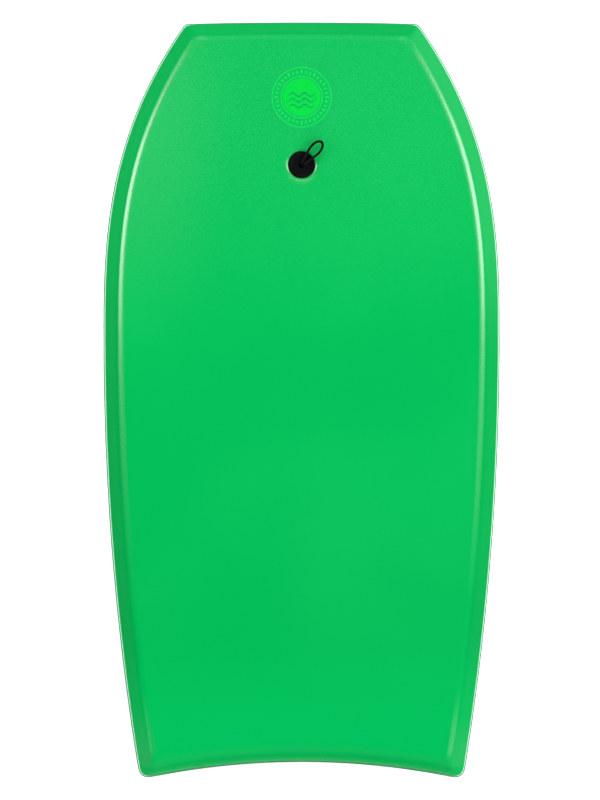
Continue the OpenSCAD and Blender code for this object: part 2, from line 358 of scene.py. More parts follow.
def deck_foam(name, polish=None):
    """Heat-pressed closed-cell foam: a fine pebble grain, with painted sheen near the nose."""
    rough = POLISH_ROUGH if polish else DECK_ROUGH
    f = Finish(name, DECK_GREEN, rough, Specular_IOR_Level=DECK_GLOSS)
    x, y = f.axes()
    across, up = f.slant()
    if polish:
        f.gloss(f.plus(f.times(polish(f, x, y), POLISH_GLOSS), DECK_GLOSS))
    bevel = f.remap(up, *BEVEL_FACING)
    # Painted sheen near the nose, speckled by the grain, with painted sheen added on the right bevel and at
    # the tail corners
    forward = f.times(f.remap(y, *SHEEN_ALONG), f.remap(bevel, *SHEEN_ON_BEVEL))
    grain = f.noise(GRAIN_SCALE, 2.0, 0.7)
    sheen_speck = f.times(f.remap(grain, *SHEEN_SPECK), forward)
    painted_sheen = f.plus(f.times(forward, f.remap(x, *SHEEN_ACROSS)), sheen_speck)
    painted_sheen = f.plus(painted_sheen, right_bevel_sheen(f, across, y))
    painted_sheen = f.plus(painted_sheen, f.times(bevel, corner_sheen(f, x, y)))
    tone = f.mix(f.remap(f.noise(3.2, 2.0, 0.5), 0.35, 0.75), DECK_GREEN, DECK_HAZE)
    # Painted light: the base colour is lighter towards the tail
    tone = f.mix(f.remap(y, *TAIL_LIT_ALONG), tone, DECK_TAIL_LIT)
    tone = f.mix(f.times(bevel, bevel_shade(f, y)), tone, DECK_SHADE)
    f.color(f.mix(painted_sheen, tone, DECK_PAINTED_SHEEN))
    f.roughness(f.remap(grain, 0.25, 0.75, rough - ROUGH_SPREAD, rough + ROUGH_SPREAD))
    f.bump(f.cells(PEBBLE_SCALE, "SMOOTH_F1"), 0.15 * MM, 0.35)
    f.bump(grain, 0.05 * MM, 0.3)
    return f.material


# -------------------------------- the other materials
def rail_skin():
    """The strips' outer skin: smooth grey-green foam."""
    f = Finish("rail_foam_skin", srgb(60, 130, 90), 0.5, Specular_IOR_Level=0.3)
    wear = f.remap(f.noise(45, 4.0, 0.6), 0.4, 0.7, 0.0, 0.5)
    f.color(f.mix(wear, srgb(34, 86, 57), srgb(50, 100, 71)))
    f.bump(f.noise(900, 3.0, 0.6), 0.2 * MM, 0.4)
    return f.material


def rail_cut():
    """The trimmed face of a strip: open cells, paler than the skin."""
    f = Finish("rail_foam_cut_face", srgb(150, 210, 173), 0.75, Specular_IOR_Level=0.2)
    cell = f.cells(900)
    f.mottle(cell, 0.1, 0.6, srgb(162, 220, 183), srgb(138, 201, 163))
    f.bump(cell, 0.2 * MM, 0.5)
    return f.material


def slick_plastic():
    """Smooth polyethylene sheet, scuffed along its length and a little wavy from lamination."""
    f = Finish("slick_sheet", srgb(226, 232, 230), 0.22, Specular_IOR_Level=0.5)
    scuff = f.noise(9, 3.0, 0.6, f.scaled((14.0, 0.8, 1.0)))
    f.roughness(f.remap(scuff, 0.35, 0.75, 0.18, 0.40))
    f.mottle(f.noise(4.0), 0.3, 0.7, srgb(223, 230, 228), srgb(231, 236, 234))
    f.bump(f.noise(60, 2.0, 0.4), 0.6 * MM, 0.35)
    return f.material


def bead_foam():
    """Moulded beads, 3 to 4 mm across."""
    f = Finish("bead_foam_core", srgb(236, 236, 228), 0.8, Specular_IOR_Level=0.3)
    bead = f.cells(260)
    f.mottle(bead, 0.0, 0.9, srgb(242, 242, 236), srgb(214, 214, 204))
    f.bump(bead, 0.8 * MM, 0.7)
    return f.material


def plug_plastic():
    """Black moulded nylon with a fine spark finish."""
    f = Finish("plug_plastic", srgb(5, 5, 5), 0.38, Specular_IOR_Level=0.05)
    spark = f.noise(1400, 2.0, 0.6)
    f.roughness(f.remap(spark, 0.3, 0.7, 0.32, 0.48))
    f.mottle(f.noise(70, 3.0), 0.4, 0.7, srgb(3, 3, 3), srgb(5, 5, 5))
    f.bump(spark, 0.1 * MM, 0.25)
    return f.material


def cord_fibre():
    """Black polyester fibre. The braid itself is in the mesh."""
    f = Finish("cord_braid", srgb(5, 5, 5), 0.62, Specular_IOR_Level=0.08)
    fibre = f.noise(2600, 3.0, 0.7)
    f.mottle(fibre, 0.3, 0.75, srgb(2, 3, 2), srgb(9, 9, 8))
    f.bump(fibre, 0.12 * MM, 0.5)
    return f.material


def print_ink(name, main, other):
    """Heat-pressed ink, a little patchy, over the foam's pebbles."""
    f = Finish(name, main, 0.36, Specular_IOR_Level=0.04)
    f.mottle(f.noise(180, 3.0, 0.6), 0.35, 0.75, main, other)
    f.bump(f.cells(620, "SMOOTH_F1"), 0.4 * MM, 0.3)
    return f.material


def floor_paper():
    """White paper, lit a little from behind so that no shadow greys it."""
    f = Finish("floor_paper", srgb(246, 246, 246), 0.9, Specular_IOR_Level=0.1,
               Emission_Color=(1, 1, 1, 1), Emission_Strength=0.3)
    f.color(f.mix(f.noise(1.5), srgb(245, 245, 245), srgb(247, 247, 247)))
    return f.material


# -------------------------------- outline, as the CAD has it
NOSE_STEPS = 56
NOSE_CORNER_STEPS = 8
SIDE_STEPS = 230
TAIL_CORNER_STEPS = 12
TAIL_STEPS = 54
CORNER_PASSES = 8
NOSE_ROUND_GAIN = 0.45
NOSE_ROUND_FROM = 4 * MM
TAIL_ROUND_LEAST = 5 * MM
NOSE_CORNER = NOSE_STEPS + NOSE_CORNER_STEPS // 2
TAIL_CORNER = NOSE_STEPS + NOSE_CORNER_STEPS + SIDE_STEPS + TAIL_CORNER_STEPS // 2
TAIL_MIDDLE = NOSE_STEPS + NOSE_CORNER_STEPS + SIDE_STEPS + TAIL_CORNER_STEPS + TAIL_STEPS
RING = 2 * TAIL_MIDDLE
COLUMNS = 2 * NOSE_CORNER
ROWS = TAIL_CORNER - NOSE_CORNER


def half_width(y):
    if y > WIDE_Y:
        t = (y - WIDE_Y) / (NOSE_Y - WIDE_Y)
        return WIDTH / 2 - (WIDTH - NOSE_WIDTH) / 2 * t ** FRONT_FULLNESS
    t = (WIDE_Y - y) / (WIDE_Y - TAIL_Y)
    return WIDTH / 2 - (WIDTH - TAIL_WIDTH) / 2 * t ** REAR_FULLNESS


def side_slope(y):
    if y > WIDE_Y:
        reach = NOSE_Y - WIDE_Y
        return (-(WIDTH - NOSE_WIDTH) / 2 * FRONT_FULLNESS / reach
                * ((y - WIDE_Y) / reach) ** (FRONT_FULLNESS - 1))
    reach = WIDE_Y - TAIL_Y
    return ((WIDTH - TAIL_WIDTH) / 2 * REAR_FULLNESS / reach
            * ((WIDE_Y - y) / reach) ** (REAR_FULLNESS - 1))


def side_x(y, inset):
    return half_width(y) - inset * math.hypot(1, side_slope(y))


def tail_edge_y(x, inset):
    slope = 2 * TAIL_DEPTH * x / TIP_X ** 2
    return TAIL_Y + TAIL_DEPTH * (1 - (x / TIP_X) ** 2) + inset * math.hypot(1, slope)


def half_outline(side, nose, tail):
    """Right half of the outline at an inset, as (x, y, how far on the nose, how far on the tail)."""
    nose_y = NOSE_Y - NOSE_BOW - nose
    nose_x = side_x(nose_y, side)
    tail_y = TAIL_Y
    for _ in range(CORNER_PASSES):
        tail_y = tail_edge_y(side_x(tail_y, side), tail)
    tail_x = side_x(tail_y, side)
    nose_turn = NOSE_ROUND + NOSE_ROUND_GAIN * max(nose - NOSE_ROUND_FROM, 0)
    tail_turn = max(TAIL_ROUND - tail, TAIL_ROUND_LEAST)
    nose_end = nose_x - nose_turn
    tail_end = tail_x - tail_turn
    side_start = nose_y - nose_turn
    side_end = tail_y + tail_turn
    start_x = side_x(side_start, side)
    end_x = side_x(side_end, side)

    def bow(x):
        return nose_y + NOSE_BOW * (1 - (x / nose_x) ** 2)

    points = []
    for k in range(NOSE_STEPS):
        x = nose_end * k / NOSE_STEPS
        points.append((x, bow(x), 1, 0))
    turn = curve((nose_end, bow(nose_end)), (nose_x, nose_y), (start_x, side_start), NOSE_CORNER_STEPS)
    points += [(x, y, 1 - smooth(k / NOSE_CORNER_STEPS), 0) for k, (x, y) in enumerate(turn)]
    for k in range(1, SIDE_STEPS):
        y = side_start + (side_end - side_start) * k / SIDE_STEPS
        points.append((side_x(y, side), y, 0, 0))
    tail_start = (tail_end, tail_edge_y(tail_end, tail))
    turn = curve((end_x, side_end), (tail_x, tail_y), tail_start, TAIL_CORNER_STEPS)
    points += [(x, y, 0, smooth(k / TAIL_CORNER_STEPS)) for k, (x, y) in enumerate(turn)]
    for k in range(1, TAIL_STEPS + 1):
        x = tail_end * (1 - k / TAIL_STEPS)
        points.append((x, tail_edge_y(x, tail), 0, 1))
    return points


def ring(inset, z):
    """A closed ring, clockwise seen from above. inset and z are one number, or (side, nose, tail)."""
    inset = inset if isinstance(inset, tuple) else (inset,) * 3
    z = z if isinstance(z, tuple) else (z,) * 3
    half = []
    for x, y, nose, tail in half_outline(*inset):
        height = z[0] * (1 - nose - tail) + z[1] * nose + z[2] * tail
        half.append((x, y, height + rocker(y)))
    return half + [(-x, y, h) for x, y, h in half[-2:0:-1]]


# -------------------------------- plug frame
def plug_frame():
    """The plug's place and tilt: on the deck, square to the chord across its seat."""
    front = PLUG_Y + SEAT_REACH
    back = PLUG_Y - SEAT_REACH
    tilt = math.atan((rocker(front) - rocker(back)) / (front - back))
    seat_z = THICKNESS + (rocker(front) + rocker(back)) / 2
    return Matrix.Translation((0, PLUG_Y, seat_z)) @ Matrix.Rotation(tilt, 4, "X"), tilt


PLUG, PLUG_TILT = plug_frame()
LOOP = PLUG @ Matrix.Rotation(math.radians(LOOP_AZIMUTH), 4, "Z")
BOARD_DEPTH = THICKNESS * math.cos(PLUG_TILT)
FLANGE_D = 38 * MM
FLANGE_R = FLANGE_D / 2
FLANGE_T = 2.4 * MM
FLANGE_EDGE = 0.8 * MM
FLANGE_RECESS = 0.3 * MM
POCKET_R = FLANGE_R + 0.3 * MM
BORE_R = 12.2 * MM
BOTTOM_PROUD = 0.6 * MM
TOP_FLANGE_Z = -FLANGE_RECESS - FLANGE_T
BOTTOM_Z = -BOARD_DEPTH - BOTTOM_PROUD


# -------------------------------- closed pieces, ring by ring
class Shell:
    """Gathers the points and faces of one closed piece. A face's tone is its material's number."""

    def __init__(self):
        self.points = []
        self.faces = []
        self.tones = []

    def add(self, points):
        start = len(self.points)
        self.points.extend(tuple(p) for p in points)
        return list(range(start, len(self.points)))

    def face(self, corners, tone=0):
        self.faces.append(corners)
        self.tones.append(tone)

    def band(self, a, b, tone=0, closed=True):
        """Quads between two rows. tone is one number, or a list with one for each quad."""
        count = len(a)
        tones = tone if isinstance(tone, list) else [tone] * count
        for k in range(count if closed else count - 1):
            n = (k + 1) % count
            self.face((a[k], a[n], b[n], b[k]), tones[k])

    def skin(self, rows, tone=0, closed=True):
        """Bands from each row to the next."""
        for a, b in zip(rows, rows[1:]):
            self.band(a, b, tone, closed)

    def ends(self, rows):
        """Flat faces that close the first and the last ring of a tube."""
        self.face(list(reversed(rows[0])))
        self.face(rows[-1])

    def piece(self, name, materials, sharp):
        mesh = bpy.data.meshes.new(name)
        mesh.from_pydata(self.points, [], self.faces)
        for m in materials:
            mesh.materials.append(m)
        mesh.polygons.foreach_set("material_index", self.tones)
        bm = bmesh.new()
        bm.from_mesh(mesh)
        bmesh.ops.recalc_face_normals(bm, faces=bm.faces)
        bm.to_mesh(mesh)
        bm.free()
        mesh.shade_smooth()
        mesh.set_sharp_from_angle(angle=math.radians(sharp))
        obj = bpy.data.objects.new(name, mesh)
        bpy.context.scene.collection.objects.link(obj)
        return obj


WINDOW_COLUMNS = 10
WINDOW_ROWS = 8
UPPER_SPREAD = 8
LOWER_SPREAD = 3
SPREAD_POWER = 1.5


def fill_cap(shell, border, level):
    """Fills a ring with quads whose lines follow its four sides, and leaves a window round the plug."""
    def at(k):
        return border[k % RING]

    grid = np.zeros((ROWS + 1, COLUMNS + 1), int)
    grid[0] = [at(j - NOSE_CORNER) for j in range(COLUMNS + 1)]
    grid[ROWS] = [at(-TAIL_CORNER - j) for j in range(COLUMNS + 1)]
    grid[:, 0] = [at(-NOSE_CORNER - i) for i in range(ROWS + 1)]
    grid[:, COLUMNS] = [at(NOSE_CORNER + i) for i in range(ROWS + 1)]
    flat = np.array([p[:2] for p in shell.points])
    nose = flat[grid[0]]
    tail = flat[grid[ROWS]]
    left = flat[grid[:, 0]]
    right = flat[grid[:, COLUMNS]]
    u = np.linspace(0, 1, COLUMNS + 1)[:, None]
    for i in range(1, ROWS):
        v = i / ROWS
        line = ((1 - v) * nose + v * tail + (1 - u) * left[i] + u * right[i]
                - (1 - u) * (1 - v) * nose[0] - u * (1 - v) * nose[-1]
                - (1 - u) * v * tail[0] - u * v * tail[-1])
        grid[i, 1:-1] = shell.add([(x, y, level(x, y)) for x, y in line[1:-1]])
    middle = COLUMNS // 2
    plug_row = min(range(ROWS), key=lambda i: abs(shell.points[grid[i, middle]][1] - PLUG_Y))
    top = plug_row - WINDOW_ROWS
    low = plug_row + WINDOW_ROWS
    near = middle - WINDOW_COLUMNS
    far = middle + WINDOW_COLUMNS
    for i in range(ROWS):
        for j in range(COLUMNS):
            if not (top <= i < low and near <= j < far):
                shell.face((grid[i, j], grid[i, j + 1], grid[i + 1, j + 1], grid[i + 1, j]))
    return ([grid[top, j] for j in range(near, far)] + [grid[i, far] for i in range(top, low)]
            + [grid[low, j] for j in range(far, near, -1)] + [grid[i, near] for i in range(low, top, -1)])


def plug_hole(shell, upper, lower, profile, levels, rim_tone=0):
    """Joins two windows by a hole round the plug's axis. profile is (radius, height) from its seat."""
    def circle(source, radius, z):
        made = []
        for k in source:
            x = shell.points[k][0]
            y = shell.points[k][1] - PLUG_Y
            reach = math.hypot(x, y)
            made.append(PLUG @ Vector((radius * x / reach, radius * y / reach, z)))
        return made

    def spread(window, rim, level, count):
        rows = []
        for s in range(1, count):
            t = 1 - (1 - s / count) ** SPREAD_POWER
            made = []
            for k, r in zip(window, rim):
                x, y = np.array(shell.points[k][:2]) * (1 - t) + np.array(shell.points[r][:2]) * t
                made.append((x, y, level(x, y)))
            rows.append(shell.add(made))
        return rows

    rims = [shell.add(circle(upper, radius, z)) for radius, z in profile]
    above = [upper] + spread(upper, rims[0], levels[0], UPPER_SPREAD) + rims
    below = [lower] + spread(lower, rims[-1], levels[1], LOWER_SPREAD)
    shell.skin(above, rim_tone)
    shell.band(above[-1], below[-1], rim_tone)
    shell.skin(below[::-1])


def plain(z):
    """The height of a flat layer over the rocker, as a function of the place."""
    return lambda x, y: z + rocker(y)


# -------------------------------- foam core
TUCK_RATE = RAIL_TUCK / APEX_Z
CHINE_RATE = (THICKNESS - APEX_Z) / SIDE_CHINE
EDGE_DROP = (SKIN_T * math.hypot(1, CHINE_RATE) - CHINE_RATE * STRIP_T) / (1 + CHINE_RATE * TUCK_RATE)
CREASE_SHIFT = SKIN_T * math.tan(math.atan(CHINE_RATE) / 2)
SLICK_EDGE = RAIL_TUCK - SLICK_T * TUCK_RATE
CORE_BOTTOM = SLICK_EDGE + STRIP_T
CORE_EDGE = (STRIP_T + EDGE_DROP * TUCK_RATE, APEX_Z - EDGE_DROP)
CORE_CREASE = tuple(w + CREASE_SHIFT for w in (SIDE_CHINE, NOSE_CHINE, TAIL_CHINE))
CORE_TOP = THICKNESS - SKIN_T


def make_core(finish):
    shell = Shell()
    low = shell.add(ring(CORE_BOTTOM, SLICK_T))
    edge = shell.add(ring(*CORE_EDGE))
    high = shell.add(ring(CORE_CREASE, CORE_TOP))
    shell.skin([low, edge, high])
    upper = fill_cap(shell, high, plain(CORE_TOP))
    lower = fill_cap(shell, low, plain(SLICK_T))
    bore = [(BORE_R, -SKIN_T), (BORE_R, -BOARD_DEPTH + BOTTOM_PROUD + FLANGE_T),
            (POCKET_R, -BOARD_DEPTH + FLANGE_T - BOTTOM_PROUD), (POCKET_R, -BOARD_DEPTH + SLICK_T)]
    plug_hole(shell, upper, lower, bore, (plain(CORE_TOP), plain(SLICK_T)))
    return shell.piece("core_block", [finish], sharp=30)


# -------------------------------- slick sheet
SLICK_ROUND = 0.35 * MM
SLICK_CORNER = 0.08 * MM
HOLE_CHAMFER = 0.3 * MM


def make_slick(finish):
    shell = Shell()
    rows = [(RAIL_TUCK + SLICK_ROUND, 0.0), (RAIL_TUCK + SLICK_CORNER, SLICK_CORNER),
            (RAIL_TUCK, SLICK_ROUND), (SLICK_EDGE, SLICK_T)]
    rings = [shell.add(ring(inset, z)) for inset, z in rows]
    shell.skin(rings)
    upper = fill_cap(shell, rings[-1], plain(SLICK_T))
    lower = fill_cap(shell, rings[0], plain(0.0))
    hole = [(POCKET_R, -BOARD_DEPTH + SLICK_T), (POCKET_R, -BOARD_DEPTH + HOLE_CHAMFER),
            (POCKET_R + HOLE_CHAMFER, -BOARD_DEPTH)]
    plug_hole(shell, upper, lower, hole, (plain(SLICK_T), plain(0.0)))
    return shell.piece("slick_sheet", [finish], sharp=30)


# -------------------------------- deck skin
CREASE_REACH = 8.5 * MM
LAP = (3.15 * MM, 1.3 * MM, 1.3 * MM)
SEAM_GROOVE = 0.9 * MM
SEAM_IN = 0.25 * MM
SEAM_ROUND = 0.05 * MM
TAIL_ROLL = 8 * MM
DISH_R = 28 * MM
DISH_DEPTH = 0.9 * MM
CHINE_ROWS = 5
CREASE_ROWS = 9
POLISH_SKIP = 3
# The lip round the plug's flange in mm: how far out from the pocket, and how far down
LIP = [(2.5, 0), (2.1, 0.05), (1.7, 0.17), (1.3, 0.33), (0.9, 0.5), (0.5, 0.68), (0.1, 0.88)]


def bevel(lap, width):
    """A straight bevel from the seam up to a rounded crease, as (inset, z) points."""
    start = (lap, APEX_Z + lap * ((THICKNESS - APEX_Z) / width))
    corner = (width, THICKNESS)
    run = math.hypot(width - lap, THICKNESS - start[1])
    before = tuple(c + (s - c) * CREASE_REACH / run for c, s in zip(corner, start))
    after = (width + CREASE_REACH, THICKNESS)
    straight = [tuple(s + (e - s) * k / CHINE_ROWS for s, e in zip(start, before))
                for k in range(CHINE_ROWS)]
    return straight + curve(before, corner, after, CREASE_ROWS)


def roll(lap, width):
    """The tail's soft roll, with as many points as a bevel."""
    start = (lap, APEX_Z + lap * (THICKNESS - APEX_Z) / width)
    return curve(start, (TAIL_ROLL, THICKNESS), (width + CREASE_REACH, THICKNESS), CHINE_ROWS + CREASE_ROWS)


def dish(radius):
    return -DISH_DEPTH * (1 - clamp((radius - FLANGE_R) / (DISH_R - FLANGE_R))) ** 2


def deck_level(x, y):
    return THICKNESS + rocker(y) + dish(math.hypot(x, y - PLUG_Y))


def make_deck(finishes):
    """The deck skin. Tone 1 is the side creases and tone 2 the lip round the plug."""
    shell = Shell()
    side = bevel(LAP[0], SIDE_CHINE)
    nose = bevel(LAP[1], NOSE_CHINE)
    tail = roll(LAP[2], TAIL_CHINE)
    seam_z = tuple(p[0][1] - SEAM_GROOVE for p in (side, nose, tail))
    rows = [(CORE_CREASE, CORE_TOP), CORE_EDGE, (tuple(w + SEAM_IN for w in LAP), seam_z),
            (tuple(w + SEAM_ROUND for w in LAP), tuple(z + SEAM_GROOVE / 2 for z in seam_z))]
    rows += [tuple(zip(s, n, t)) for s, n, t in zip(side, nose, tail)]
    rings = [shell.add(ring(inset, z)) for inset, z in rows]
    polished = range(len(rings) - 1 - CREASE_ROWS + POLISH_SKIP, len(rings) - 2)
    beside = [1 if NOSE_STEPS <= min(k, RING - k) < TAIL_CORNER else 0 for k in range(RING)]
    for row, (a, b) in enumerate(zip(rings, rings[1:])):
        shell.band(a, b, beside if row in polished else 0)
    upper = fill_cap(shell, rings[-1], deck_level)
    lower = fill_cap(shell, rings[0], plain(CORE_TOP))
    lip = [(POCKET_R + reach * MM, dish(POCKET_R) - drop * MM) for reach, drop in LIP]
    lip += [(POCKET_R, TOP_FLANGE_Z), (BORE_R, TOP_FLANGE_Z), (BORE_R, -SKIN_T)]
    plug_hole(shell, upper, lower, lip, (deck_level, plain(CORE_TOP)), rim_tone=2)
    return shell.piece("deck_pad", finishes, sharp=50)


# -------------------------------- edge strips
SKIN_EDGE = 1.3 * MM
SKIN_SHARE = 0.75
CUT_RISE = 0.15 * MM
STRIP_ROUND = 0.3 * MM
STRIP_INNER_Z = APEX_Z - 1 * MM
# The strip's outer side in mm, from the bottom up: how far in from the outline, and the height
STRIP_SIDE = [(3.1, 15.5), (0.75, 28), (0.12, 31), (0, 31.8), (0.12, 32.4), (0.5, 33)]
# The end of its trimmed face in mm: how far short of the deck's lap, and how far below the bevel there
STRIP_LIP = [(0.5, 0.35), (0.15, 0.55), (0.03, 1.1)]


def joint_index(x, on_tail):
    """The place in the outline of a butt joint at this distance from the centreline."""
    outer = ring(0.0, APEX_Z)
    span = range(TAIL_CORNER, TAIL_MIDDLE) if on_tail else range(0, NOSE_CORNER)
    return min(span, key=lambda k: abs(outer[k][0] - x))


def make_strip(name, start, stop, lap, finishes):
    """A strip glued round the edge: its outer skin is tone 0 and its trimmed top face tone 1."""
    skin_edge = min(SKIN_EDGE, SKIN_SHARE * lap)
    lap_z = APEX_Z + lap * CHINE_RATE
    profile = [(SLICK_EDGE + STRIP_ROUND, SLICK_T), (SLICK_EDGE, SLICK_T + STRIP_ROUND)]
    profile += [(inset * MM, z * MM) for inset, z in STRIP_SIDE]
    cut_from = len(profile)
    profile.append((skin_edge, APEX_Z + skin_edge * CHINE_RATE + CUT_RISE))
    profile += [(lap - short * MM, lap_z - drop * MM) for short, drop in STRIP_LIP]
    profile += [(STRIP_T, STRIP_INNER_Z), CORE_EDGE, (CORE_BOTTOM, SLICK_T)]
    shell = Shell()
    rows = []
    for inset, z in profile:
        outline = ring(inset, z)
        rows.append(shell.add([outline[k % RING] for k in range(start, stop + 1)]))
    shell.skin(rows[:cut_from + 1], 0, False)
    shell.skin(rows[cut_from:] + rows[:1], 1, False)
    shell.face([r[0] for r in rows], 1)
    shell.face([r[-1] for r in reversed(rows)], 1)
    return shell.piece(name, finishes, sharp=35)


# -------------------------------- leash plug
LATHE_STEPS = 96
CORD_HOLE_R = 4 * MM
STEM_R = 9 * MM
SOCKET_R = 12 * MM
STEM_END_Z = -36 * MM
SOCKET_TOP_Z = -12 * MM
WEB_T = 3 * MM
WEB_Z = -BOARD_DEPTH + 12 * MM
KNOT_RECESS_R = 7.5 * MM
STEM_GAP = 0.1 * MM
THREAD_PITCH = 2 * MM
HOLE_ROUND = 0.6 * MM
RECESS_ROUND = 0.5 * MM
RIM_CHAMFER = 0.2 * MM
ROOT_CHAMFER = 0.5 * MM
STEM_CHAMFER = 0.8 * MM
SOCKET_CHAMFER = 0.6 * MM
MOUTH_CHAMFER = 0.4 * MM
WEB_CHAMFER = 0.5 * MM
HOLE_STEPS = 5
RIM_STEPS = 6
# Shallow turned steps in mm: radius, and depth below the flange's face or above its underside
FACE_STEPS = [(5.2, 0.25), (6, 0.32), (14.6, 0.32), (15.3, 0.22), (15.9, 0.02), (16.3, 0)]
UNDER_STEPS = [(15.8, 0), (16.1, 0.25), (16.6, 0.25), (16.9, 0)]
# One turn of the thread in mm: depth below the crest, and distance down the stem
THREAD = [(0, 0), (0.7, 0.8), (0.7, 1.1), (0, 1.9)]


def lathe(name, profile, finish):
    """Turns a closed (radius, z) outline about the plug's axis."""
    shell = Shell()
    angles = [2 * math.pi * k / LATHE_STEPS for k in range(LATHE_STEPS)]
    rows = [shell.add([PLUG @ Vector((r * math.cos(a), r * math.sin(a), z)) for a in angles])
            for r, z in profile]
    shell.skin(rows + rows[:1])
    return shell.piece(name, [finish], sharp=30)


def arc(cr, cz, radius, start, stop, steps):
    angles = [math.radians(start + (stop - start) * k / steps) for k in range(steps + 1)]
    return [(cr + radius * math.cos(a), cz + radius * math.sin(a)) for a in angles]


def make_plug_top(finish):
    """The upper half: a dished flange with a rounded rim, on a threaded stem."""
    face = -FLANGE_RECESS
    hole_z = face - HOLE_ROUND - FACE_STEPS[0][1] * MM
    outline = arc(CORD_HOLE_R + HOLE_ROUND, hole_z, HOLE_ROUND, 180, 90, HOLE_STEPS)
    outline += [(r * MM, face - drop * MM) for r, drop in FACE_STEPS]
    outline += arc(FLANGE_R - FLANGE_EDGE, face - FLANGE_EDGE, FLANGE_EDGE, 90, 0, RIM_STEPS)
    outline += [(FLANGE_R, TOP_FLANGE_Z + RIM_CHAMFER), (FLANGE_R - RIM_CHAMFER, TOP_FLANGE_Z),
                (STEM_R + ROOT_CHAMFER, TOP_FLANGE_Z), (STEM_R, TOP_FLANGE_Z - ROOT_CHAMFER),
                (STEM_R, SOCKET_TOP_Z + 1 * MM)]
    turns = int((SOCKET_TOP_Z - STEM_END_Z - THREAD_PITCH) / THREAD_PITCH)
    for k in range(turns):
        crest_z = SOCKET_TOP_Z - k * THREAD_PITCH
        outline += [(STEM_R - depth * MM, crest_z - down * MM) for depth, down in THREAD]
    outline += [(STEM_R, STEM_END_Z + STEM_CHAMFER), (STEM_R - STEM_CHAMFER, STEM_END_Z),
                (CORD_HOLE_R + MOUTH_CHAMFER, STEM_END_Z), (CORD_HOLE_R, STEM_END_Z + MOUTH_CHAMFER)]
    return lathe("plug_upper_half", outline, finish)


def make_plug_bottom(finish):
    """The lower half: a flange, a socket for the stem, and a web over the knot's recess."""
    inner_z = BOTTOM_Z + FLANGE_T
    mouth_r = STEM_R + STEM_GAP
    web_top = WEB_Z + WEB_T
    outline = arc(KNOT_RECESS_R + RECESS_ROUND, BOTTOM_Z + RECESS_ROUND, RECESS_ROUND, 180, 270, HOLE_STEPS)
    outline += [(r * MM, BOTTOM_Z + rise * MM) for r, rise in UNDER_STEPS]
    outline += arc(FLANGE_R - FLANGE_EDGE, BOTTOM_Z + FLANGE_EDGE, FLANGE_EDGE, 270, 360, RIM_STEPS)
    outline += [(FLANGE_R, inner_z - RIM_CHAMFER), (FLANGE_R - RIM_CHAMFER, inner_z),
                (SOCKET_R + SOCKET_CHAMFER, inner_z), (SOCKET_R, inner_z + SOCKET_CHAMFER),
                (SOCKET_R, SOCKET_TOP_Z - SOCKET_CHAMFER), (SOCKET_R - SOCKET_CHAMFER, SOCKET_TOP_Z),
                (mouth_r + MOUTH_CHAMFER, SOCKET_TOP_Z), (mouth_r, SOCKET_TOP_Z - MOUTH_CHAMFER),
                (mouth_r, web_top), (CORD_HOLE_R + WEB_CHAMFER, web_top),
                (CORD_HOLE_R, web_top - WEB_CHAMFER), (CORD_HOLE_R, WEB_Z + WEB_CHAMFER),
                (CORD_HOLE_R + WEB_CHAMFER, WEB_Z), (KNOT_RECESS_R, WEB_Z)]
    return lathe("plug_lower_half", outline, finish)


# -------------------------------- cord and knot
STEP_ALONG = 0.3 * MM
SPLINE_STEPS = 24
RISE_STEPS = 6
BEND = 6 * MM
BEND_STEPS = 6
BEND_SPREAD = 0.5 * MM
BEND_RISE = 1.2 * MM
CORD_AROUND = 40
CORD_LINE_STEP = 6
STRANDS = 8
BRAID_PITCH = 11 * MM
BRAID_DEPTH = 0.09 * MM
KNOT_TOP_Z = WEB_Z - 0.3 * MM
KNOT_H = 8 * MM
KNOT_BURIED = 2.5 * MM
KNOT_STEPS = 180
KNOT_AROUND = 24
KNOT_SIZE = 1.34 * MM
KNOT_HUB = 2.05
KNOT_WAVE = 2.2 * MM
KNOT_CORD_R = 1.66 * MM
# The two ends below the knot: how far out, aside and down they start, how far they splay and reach
END_R = 1.7 * MM
END_OUT = 0.7 * MM
END_ASIDE = 2 * MM
END_TOP = 1.7 * MM
END_SPLAY = 1 * MM
END_REACH = 4.6 * MM
END_AROUND = 20
END_POINTS = 12
END_SWELL = 0.1
END_TIP = (0.7, 0.93)


def steps_along(path):
    """The distance along a path at each of its points."""
    return np.concatenate([[0], np.cumsum(np.linalg.norm(np.diff(path, axis=0), axis=1))])


def smooth_path(points, step):
    """A Catmull-Rom curve through the points, then even steps along it."""
    p = [np.array(q, float) for q in points]
    p = [2 * p[0] - p[1]] + p + [2 * p[-1] - p[-2]]
    fine = []
    for k in range(1, len(p) - 2):
        for s in range(SPLINE_STEPS):
            t = s / SPLINE_STEPS
            fine.append(0.5 * (2 * p[k] + (p[k + 1] - p[k - 1]) * t
                               + (2 * p[k - 1] - 5 * p[k] + 4 * p[k + 1] - p[k + 2]) * t * t
                               + (3 * p[k] - p[k - 1] - 3 * p[k + 1] + p[k + 2]) * t ** 3))
    fine.append(p[-2])
    fine = np.array(fine)
    reach = steps_along(fine)
    count = max(int(round(reach[-1] / step)), 2)
    even = np.linspace(0, reach[-1], count + 1)
    return np.stack([np.interp(even, reach, fine[:, k]) for k in range(3)], axis=1)


def cord_route():
    """The route in the loop's frame: up one strand, over the bend, round the loop and back down."""
    pivot = np.array((0, 0, PIVOT_Z))
    bend_z = PIVOT_Z - BEND
    start = KNOT_TOP_Z - KNOT_BURIED
    half = [(0, STRAND_X, start + (bend_z - start) * k / RISE_STEPS) for k in range(RISE_STEPS + 1)]
    for k in range(1, BEND_STEPS):
        a = math.radians(90 * k / BEND_STEPS)
        half.append((BEND * (1 - math.cos(a)), STRAND_X + BEND_SPREAD * k / (BEND_STEPS - 1),
                     bend_z + (BEND + BEND_RISE) * math.sin(a)))
    half += [tuple(pivot + np.array(q) * MM) for q in LOOP_HALF]
    back = [(x, -y, z) for x, y, z in reversed(half)]
    return half + [tuple(pivot + np.array(LOOP_TIP) * MM)] + back


